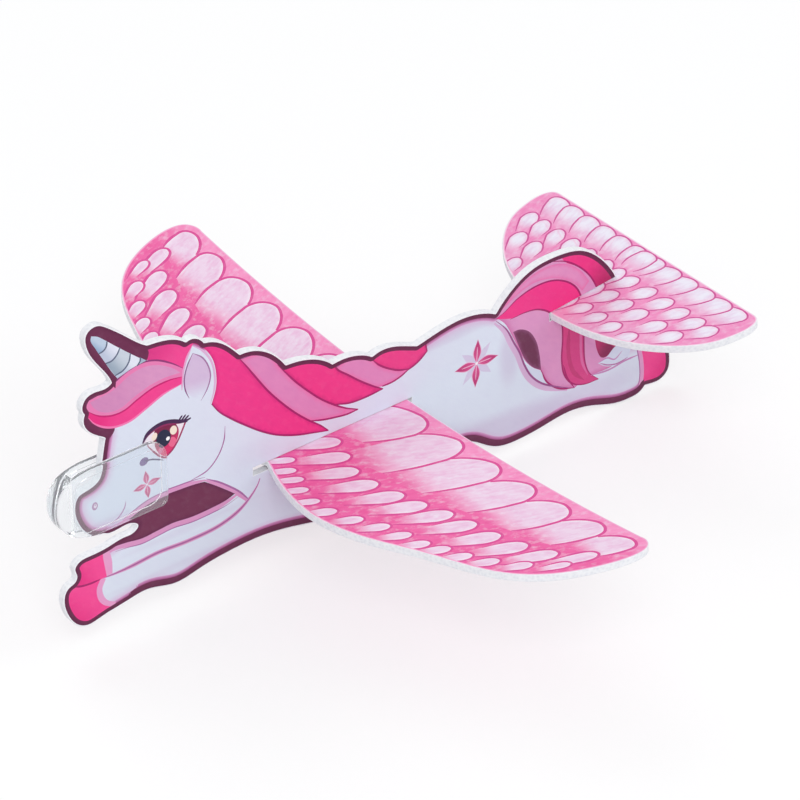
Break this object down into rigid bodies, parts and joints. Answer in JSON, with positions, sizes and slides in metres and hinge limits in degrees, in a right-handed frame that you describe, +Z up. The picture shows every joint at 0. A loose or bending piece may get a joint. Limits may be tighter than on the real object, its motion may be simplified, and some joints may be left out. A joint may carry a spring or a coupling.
{
  "type": "foam hand glider",
  "caption": "Slot-together foam hand glider: printed winged-pony profile sheet, bowed main wing, flat tailplane and a clear clip-on nose weight.",
  "frame": {"origin": "bottom centre of the glider's box, midway between nose and tail and in the profile sheet's middle plane", "axes": "+X towards the tail, +Y towards the right wing tip, +Z up"},
  "size_m": [0.1718, 0.164, 0.0796],
  "materials": {
    "profile_foam": "printed polystyrene foam",
    "wing_foam": "printed polystyrene foam",
    "tail_foam": "printed polystyrene foam",
    "clear_plastic": "clear moulded"
  },
  "bodies": {
    "fuselage": {"body": "profile_foam"},
    "wing": {"main_wing": "wing_foam"},
    "tail": {"tailplane": "tail_foam"},
    "nose": {"nose_weight": "clear_plastic"}
  },
  "joints": [
    {"name": "wing_trim", "type": "slide", "parent": "fuselage", "child": "wing", "axis": [1, 0, 0], "range_m": [-0.0035, 0.001]},
    {"name": "tailplane", "type": "slide", "parent": "fuselage", "child": "tail", "axis": [0.9945, 0, 0.1045], "range_m": [0, 0.024]},
    {"name": "nose_weight", "type": "slide", "parent": "fuselage", "child": "nose", "axis": [-1, 0, 0], "range_m": [0, 0.026]}
  ]
}
